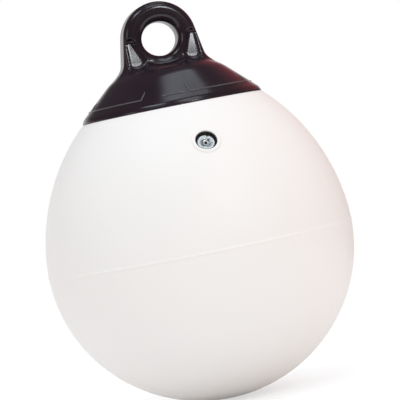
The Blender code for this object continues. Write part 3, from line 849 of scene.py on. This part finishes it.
def cut_slot(piece):
    """Cut the screwdriver slot right across the head."""
    mesh = bpy.data.meshes.new("slot_bar")
    shape = bmesh.new()
    bmesh.ops.create_cube(shape, size=1.0)
    bmesh.ops.scale(shape, vec=(SLOT_WIDTH, 1.5 * HEAD_WIDTH, 2 * SLOT_DEPTH), verts=shape.verts)
    shape.to_mesh(mesh)
    shape.free()
    bar = add_object("slot_bar", mesh)
    sink = Matrix.Translation((0, 0, -HEAD_SINK))
    bar.matrix_world = valve_place @ sink @ Matrix.Rotation(SLOT_TURN, 4, 'Z')
    cut = piece.modifiers.new("slot", 'BOOLEAN')
    cut.operation = 'DIFFERENCE'
    cut.solver = 'EXACT'
    cut.object = bar
    bpy.context.view_layer.update()
    graph = bpy.context.evaluated_depsgraph_get()
    finished = bpy.data.meshes.new_from_object(piece.evaluated_get(graph))
    piece.modifiers.clear()
    piece.data = finished
    bpy.data.objects.remove(bar)
    piece.data.set_sharp_from_angle(angle=math.radians(38))


cut_slot(valve_screw)
print("screw after the slot:", len(valve_screw.data.polygons), "faces")

# %% [markdown]
# ## Shader maths in plain Python
# A finish is a tree of nodes, and long chains of Math nodes are hard to read. A small class wraps a
# node's output, so that an expression such as 1 - mask * 0.5 adds its Math nodes by itself. Python
# asks the right-hand side when the left one is a plain number, hence the reflected forms.

# %% Wrap a socket
class Signal:
    """A node's output that can be used in arithmetic."""

    def __init__(self, recipe, socket):
        self.recipe = recipe
        self.socket = socket

    def combine(self, operation, first, second):
        return self.recipe.node('ShaderNodeMath', {"operation": operation}, {0: first, 1: second})

    def __add__(self, other):
        return self.combine('ADD', self, other)

    def __radd__(self, other):
        return self.combine('ADD', other, self)

    def __sub__(self, other):
        return self.combine('SUBTRACT', self, other)

    def __rsub__(self, other):
        return self.combine('SUBTRACT', other, self)

    def __mul__(self, other):
        return self.combine('MULTIPLY', self, other)

    def __rmul__(self, other):
        return self.combine('MULTIPLY', other, self)


print("a signal knows", [name for name in vars(Signal) if name.startswith("__r")])

# %% [markdown]
# ## A recipe of nodes
# Everything that isn't arithmetic goes through one method, node, which makes any node from its type,
# its settings and the values or links of its sockets. The short methods after it only name the nodes
# that a finish uses often. A Mix node has a set of sockets for each kind of data: 6 and 7 take the
# two colours, and output 2 gives their mix.

# %% Make nodes
class Recipe:
    """The node tree of one finish."""

    def __init__(self, tree):
        self.tree = tree
        tree.nodes.clear()

    def node(self, kind, settings=None, sockets=None, output=0):
        """Make a node, and give one of its outputs if it has any."""
        made = self.tree.nodes.new(kind)
        for key, value in (settings or {}).items():
            if key == "stops":
                self.set_stops(made.color_ramp.elements, value)
            else:
                setattr(made, key, value)
        for key, value in (sockets or {}).items():
            if isinstance(value, Signal):
                self.tree.links.new(value.socket, made.inputs[key])
            else:
                made.inputs[key].default_value = value
        return Signal(self, made.outputs[output]) if made.outputs else None

    @staticmethod
    def set_stops(elements, stops):
        """Set a ramp's stops, each a place and a shade of grey."""
        while len(elements) < len(stops):
            elements.new(1.0)
        for element, (place, shade) in zip(elements, stops):
            element.position = place
            element.color = (shade, shade, shade, 1)

    def place(self):
        """Position on the piece, in metres."""
        return self.node('ShaderNodeTexCoord', output="Object")

    def noise(self, scale, detail=2.0, roughness=0.5):
        """A cloudy value between 0 and 1."""
        return self.node('ShaderNodeTexNoise', None, {
            "Vector": self.place(), "Scale": scale, "Detail": detail, "Roughness": roughness})

    def ramp(self, value, *stops):
        """A value reshaped by stops of place and shade."""
        return self.node('ShaderNodeValToRGB', {"stops": stops}, {0: value})

    def mix(self, factor, first, second):
        """A colour between two colours."""
        colours = {0: factor, 6: first, 7: second}
        return self.node('ShaderNodeMix', {"data_type": 'RGBA'}, colours, 2)

    def part(self, vector, axis):
        """One coordinate of a vector."""
        return self.node('ShaderNodeSeparateXYZ', None, {0: vector}, "XYZ".index(axis))

    def bump(self, height, distance, strength, below=None):
        """Turn a height into a change of normal."""
        sockets = {"Height": height, "Distance": distance, "Strength": strength}
        if below:
            sockets["Normal"] = below
        return self.node('ShaderNodeBump', None, sockets)

    def ray(self, *kinds):
        """1 for a ray of any of these kinds, and 0 for others."""
        seen = self.node('ShaderNodeLightPath', output=kinds[0])
        for kind in kinds[1:]:
            other = self.node('ShaderNodeLightPath', output=kind)
            seen = self.node('ShaderNodeMath', {"operation": 'MAXIMUM'}, {0: seen, 1: other})
        return seen

    def principled(self, sockets):
        """Send the usual shader to the material's output."""
        self.finish(self.node('ShaderNodeBsdfPrincipled', None, sockets))

    def finish(self, shader, sink='ShaderNodeOutputMaterial'):
        """Send a shader to the output."""
        self.node(sink, None, {"Surface": shader})


def new_finish(name):
    """A new material and its recipe."""
    made = bpy.data.materials.new(name)
    made.use_nodes = True
    return made, Recipe(made.node_tree)


def rgb(red, green, blue):
    """A colour with full alpha."""
    return (red, green, blue, 1.0)


print("a recipe can make", [name for name in vars(Recipe) if not name.startswith("_")])

# %% [markdown]
# ## White vinyl for the ball
# Blown vinyl is smooth and a little soft to the eye. It swells very slightly here and there, its
# gloss has a faint orange peel, and its white drifts towards a warmer tone.

# %% Mix the white vinyl
def white_vinyl():
    """The ball's skin."""
    made, recipe = new_finish("white_vinyl")
    drift = recipe.ramp(recipe.noise(7.0, 3.0), (0.35, 0.0), (0.7, 1.0))
    colour = recipe.mix(drift, rgb(0.9, 0.868, 0.832), rgb(0.895, 0.853, 0.812))
    peel = recipe.noise(900.0, 1.0)
    swell = recipe.noise(28.0, 2.0)
    relief = recipe.bump(swell, 0.0006, 0.35)
    relief = recipe.bump(peel, 0.00004, 0.3, relief)
    gloss = 0.42 + recipe.noise(60.0, 3.0) * 0.08
    recipe.principled({"Base Color": colour, "Roughness": gloss, "Normal": relief,
                       "Specular IOR Level": 0.35})
    return made


ball.data.materials.append(white_vinyl())
print("ball's finish:", ball.data.materials[0].name)

# %% [markdown]
# ## Black vinyl for the cap
# The cap is moulded from black vinyl with a hint of purple and brown in it. It is glossier than the
# ball, and soft flow marks from the mould make its reflections wander a little. The raised lines
# get the same vinyl painted paler, a painted sheen that stands in for the highlights they catch.

# %% Mix the black vinyl
def black_vinyl(name, painted_sheen):
    """The cap's vinyl, made paler by a painted sheen."""
    made, recipe = new_finish(name)
    flow = recipe.ramp(recipe.noise(22.0, 4.0, 0.6), (0.3, 0.0), (0.72, 1.0))
    # The second argument lifts the base colour: a painted sheen, used only for the raised lines.
    darker = rgb(0.014 + painted_sheen, 0.008 + painted_sheen, 0.011 + painted_sheen)
    paler = rgb(0.024 + painted_sheen, 0.013 + painted_sheen, 0.018 + painted_sheen)
    colour = recipe.mix(flow, darker, paler)
    relief = recipe.bump(recipe.noise(45.0, 2.0), 0.0004, 0.14)
    gloss = 0.17 + flow * 0.06
    recipe.principled({"Base Color": colour, "Roughness": gloss, "Normal": relief,
                       "Specular IOR Level": 0.7})
    return made


cap.data.materials.append(black_vinyl("black_vinyl", 0.0))
# The raised lines get a paler base colour, a painted sheen for the highlights they catch.
lines.data.materials.append(black_vinyl("black_vinyl_painted_sheen", 0.075))
print("cap's finishes:", cap.data.materials[0].name, "and", lines.data.materials[0].name)

# %% [markdown]
# ## Rubber and nickel for the valve
# The rubber is matt with a fine grain. The nickel was faced in a lathe, so its reflections are
# drawn round its centre: a wave of rings in the valve's own axes gives that.

# %% Mix the rubber and the nickel
def rubber(name, shade):
    """Matt black rubber with a fine grain."""
    made, recipe = new_finish(name)
    grain = recipe.noise(1500.0, 3.0)
    paler = rgb(shade * 1.7, shade * 1.7, shade * 1.6)
    recipe.principled({
        "Base Color": recipe.mix(grain, rgb(shade, shade, shade), paler),
        "Roughness": 0.45 + grain * 0.12, "Specular IOR Level": 0.3,
        "Normal": recipe.bump(grain, 0.00005, 0.3)})
    return made


def nickel():
    """Nickel plate with the rings that a lathe leaves."""
    made, recipe = new_finish("valve_nickel")
    rings = recipe.node('ShaderNodeTexWave', {"wave_type": 'RINGS', "rings_direction": 'Z'}, {
        "Vector": recipe.place(), "Scale": 900.0, "Distortion": 1.5, "Detail": 2.0})
    tarnish = recipe.noise(400.0, 3.0)
    colour = recipe.mix(tarnish, rgb(0.74, 0.74, 0.72), rgb(0.62, 0.63, 0.62))
    recipe.principled({
        "Base Color": colour, "Metallic": 1.0, "Roughness": 0.28 + rings * 0.1,
        "Normal": recipe.bump(rings, 0.00003, 0.25)})
    return made


valve_body.data.materials.append(rubber("valve_rubber", 0.012))
valve_septum.data.materials.append(rubber("septum_rubber", 0.02))
valve_screw.data.materials.clear()
valve_screw.data.materials.append(nickel())
print("materials:", sorted(made.name for made in bpy.data.materials))

# %% [markdown]
# ## Tie each piece to the frame
# Every piece rides on the buoy's one body and hides the solid that it replaces. Each row also
# names the slot of its finish, which nothing here reads.

# %% Ride and replace
PIECES = [
    (ball, "ball_shell", "white_vinyl"),
    (cap, "rope_eye_cap", "black_vinyl"),
    (valve_body, "valve_body", "valve_rubber"),
    (valve_screw, "valve_screw", "valve_nickel"),
    (valve_septum, "valve_septum", "septum_rubber"),
]
for piece, node, slot in PIECES:
    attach(piece, "root")
    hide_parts(node)
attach(lines, "root")
print("pieces on the frame:", len(PIECES) + 1)

# %% [markdown]
# ## The studio's light
# The picture has a plain white ground, so the world is white to the camera and to clear rays. Gloss
# sees that white backdrop too, behind the buoy. Round it gloss sees the room that shows in the black
# cap: dark in front, a pale wall behind on the left and a red card on the right. To all other rays
# the world is a plain pale level, brighter behind, warm at the far right and cooler above. Ramps of
# the direction's coordinates draw these parts.

# %% Make the world
WHITE = rgb(1.0, 1.0, 1.0)


def room(recipe, right, behind, along, up):
    """What gloss sees."""
    dark = rgb(0.08, 0.07, 0.08)
    near_floor = recipe.ramp(up, (0.08, 1.0), (0.3, 0.0))
    pale_wall = recipe.mix(near_floor, dark, rgb(0.6, 0.46, 0.45))
    at_card = recipe.ramp(up, (0.05, 0.0), (0.25, 1.0), (0.4, 1.0), (0.75, 0.0))
    red_card = recipe.mix(at_card, dark, rgb(0.42, 0.1, 0.11))
    walls = recipe.mix(behind, dark, recipe.mix(right, pale_wall, red_card))
    straight_behind = recipe.ramp(along, (0.9, 0.0), (0.96, 1.0))
    above = recipe.ramp(up, (0.15, 0.0), (0.35, 1.0))
    return recipe.mix(straight_behind * (1 - above), walls, WHITE)


def plain_light(recipe, across, behind, up):
    """What lights everything that isn't glossy."""
    far_right = recipe.ramp(across, (0.3, 0.0), (0.8, 1.0))
    overhead = recipe.ramp(up, (0.2, 0.0), (0.9, 1.0))
    light = recipe.mix(behind, rgb(0.66, 0.645, 0.632), rgb(0.96, 0.935, 0.92))
    light = recipe.mix(far_right, light, rgb(0.9, 0.66, 0.55))
    return recipe.mix(overhead, light, rgb(0.88, 0.95, 1.04))


def studio_world():
    """The light from all round."""
    world = bpy.data.worlds.new("studio")
    bpy.context.scene.world = world
    world.use_nodes = True
    recipe = Recipe(world.node_tree)
    sky = recipe.node('ShaderNodeTexCoord', output="Generated")
    across, along, up = (recipe.part(sky, axis) for axis in "XYZ")
    along = along * 0.5 + 0.5
    right = recipe.ramp(across * 0.5 + 0.5, (0.48, 0.0), (0.58, 1.0))
    behind = recipe.ramp(along, (0.45, 0.0), (0.75, 1.0))
    light = recipe.mix(recipe.ray("Is Glossy Ray"), plain_light(recipe, across, behind, up),
                       room(recipe, right, behind, along, up))
    light = recipe.mix(recipe.ray("Is Camera Ray", "Is Transmission Ray"), light, WHITE)
    sockets = {"Color": light, "Strength": 1.0}
    recipe.finish(recipe.node('ShaderNodeBackground', None, sockets), 'ShaderNodeOutputWorld')
    return world


print("world nodes:", len(studio_world().node_tree.nodes))

# %% [markdown]
# ## The floor
# The floor lies just under the ball's base and keeps its shadow. Further out it fades into the white
# of the world, so that no horizon shows. To the camera its paint glows a little, which makes the
# ground white without more light on the buoy. The glow and the paint are joined by Add Shader.

# %% Lay the floor
FLOOR_RADIUS = 1.2
FLOOR_GAP = 0.5 * MM
FADE_START = 0.35
FADE_END = 1.1


def pale_floor():
    """A round floor that fades out towards its edge."""
    bpy.ops.mesh.primitive_circle_add(vertices=96, radius=FLOOR_RADIUS, fill_type='NGON',
                                      location=(0, 0, ball_low.z - FLOOR_GAP))
    floor = bpy.context.object
    floor.name = "floor"
    made, recipe = new_finish("floor_paint")
    place = recipe.place()
    away = recipe.node('ShaderNodeVectorMath', {"operation": 'LENGTH'}, {0: place}, "Value")
    fade = recipe.node('ShaderNodeMapRange', {"interpolation_type": 'SMOOTHSTEP'},
                       {"Value": away, "From Min": FADE_START, "From Max": FADE_END})
    seen = recipe.ray("Is Camera Ray", "Is Glossy Ray", "Is Transmission Ray")
    glow = recipe.node('ShaderNodeEmission', None, {"Color": WHITE, "Strength": 0.62})
    dim = recipe.node('ShaderNodeBsdfDiffuse', None, {"Color": rgb(0.42, 0.42, 0.42)})
    painted = recipe.node('ShaderNodeAddShader', None, {0: glow, 1: dim})
    plain = recipe.node('ShaderNodeBsdfDiffuse', None, {"Color": rgb(0.92, 0.91, 0.905)})
    surface = recipe.node('ShaderNodeMixShader', None, {0: seen, 1: plain, 2: painted})
    clear = recipe.node('ShaderNodeBsdfTransparent')
    recipe.finish(recipe.node('ShaderNodeMixShader', None, {0: fade, 1: surface, 2: clear}))
    floor.data.materials.append(made)
    return floor


floor = pale_floor()
print("floor at z", round(floor.location.z, 4))

# %% [markdown]
# ## Lamps
# Large soft panels do what a studio's softboxes do: their size sets how soft a shadow is, and their
# shapes are what a glossy surface shows. The key panel brightens the ball's upper front, the top and
# arc panels draw the sheens on the cap and round the lug, the front panel is what the valve's flat
# face shows, and the left panel lifts the left side. All are aimed at the eye.

# %% Hang the lamps
PANELS = [
    ("key_panel", (0.43, -1.33, 0.55), (0.25, 0.25), 3.5, (0.93, 0.97, 1.0)),
    ("top_panel", (0.22, 0.1, 1.2), (0.2, 0.75), 0.85, (0.8, 0.92, 1.0)),
    ("arc_panel", (-0.5, -0.55, 1.15), (0.5, 0.25), 2.0, (0.75, 0.9, 1.0)),
    ("front_panel", (0.31, -0.81, 1.2), (0.6, 0.4), 1.8, (0.8, 0.92, 1.0)),
    ("left_panel", (-1.37, -0.61, 0.4), (0.3, 0.8), 1.4, (1.0, 0.92, 0.9)),
]


def hang_panel(name, place, size, watts, colour):
    """Hang a rectangular softbox and aim it at the eye, which is the frame's origin."""
    light = bpy.data.lights.new(name, 'AREA')
    light.shape = 'RECTANGLE'
    light.size, light.size_y = size
    light.energy = watts
    light.color = colour
    lamp = bpy.data.objects.new(name, light)
    lamp.location = place
    lamp.rotation_euler = (-Vector(place)).to_track_quat('-Z', 'Y').to_euler()
    bpy.context.scene.collection.objects.link(lamp)


for settings in PANELS:
    hang_panel(*settings)
print("lamps:", len(PANELS))

# %% [markdown]
# ## The camera
# The buoy was photographed from far off with a long lens, a little above its equator, and it hangs
# tilted in the picture. The buoy stays upright here, so the camera rolls instead. Its place is given
# by angles round the ball, and a small pitch puts the ball where the picture has it.

# %% Set up the camera
CAMERA_DISTANCE = 2.2
CAMERA_AZIMUTH = math.radians(12.11)
CAMERA_ELEVATION = math.radians(2.47)
CAMERA_ROLL = math.radians(11.3)
CAMERA_PITCH = math.radians(1.23)
BALL_CENTRE = Vector((0.0, 0.0, EQUATOR_Z))
SENSOR_WIDTH = 36.0
PICTURE_WIDTH = 400
FOCAL_PIXELS = 2217.5


def set_camera():
    """Put the camera at the photograph's place, roll and pitch."""
    lens = bpy.data.cameras.new("camera")
    lens.sensor_width = SENSOR_WIDTH
    lens.lens = SENSOR_WIDTH * FOCAL_PIXELS / PICTURE_WIDTH
    lens.clip_start, lens.clip_end = 0.1, 50.0
    camera = bpy.data.objects.new("camera", lens)
    bpy.context.scene.collection.objects.link(camera)
    flat = math.cos(CAMERA_ELEVATION)
    offset = Vector((-math.sin(CAMERA_AZIMUTH) * flat, -math.cos(CAMERA_AZIMUTH) * flat,
                     math.sin(CAMERA_ELEVATION))) * CAMERA_DISTANCE
    look = (-offset).to_track_quat('-Z', 'Y').to_matrix().to_4x4()
    aim = Matrix.Rotation(-CAMERA_ROLL, 4, 'Z') @ Matrix.Rotation(CAMERA_PITCH, 4, 'X')
    camera.matrix_world = Matrix.Translation(BALL_CENTRE + offset) @ look @ aim
    bpy.context.scene.camera = camera
    return camera


camera = set_camera()
bpy.context.scene.view_settings.view_transform = 'Standard'
print("lens", round(camera.data.lens, 1), "mm")

# %% [markdown]
# The fine model has to stay in the solids' box.
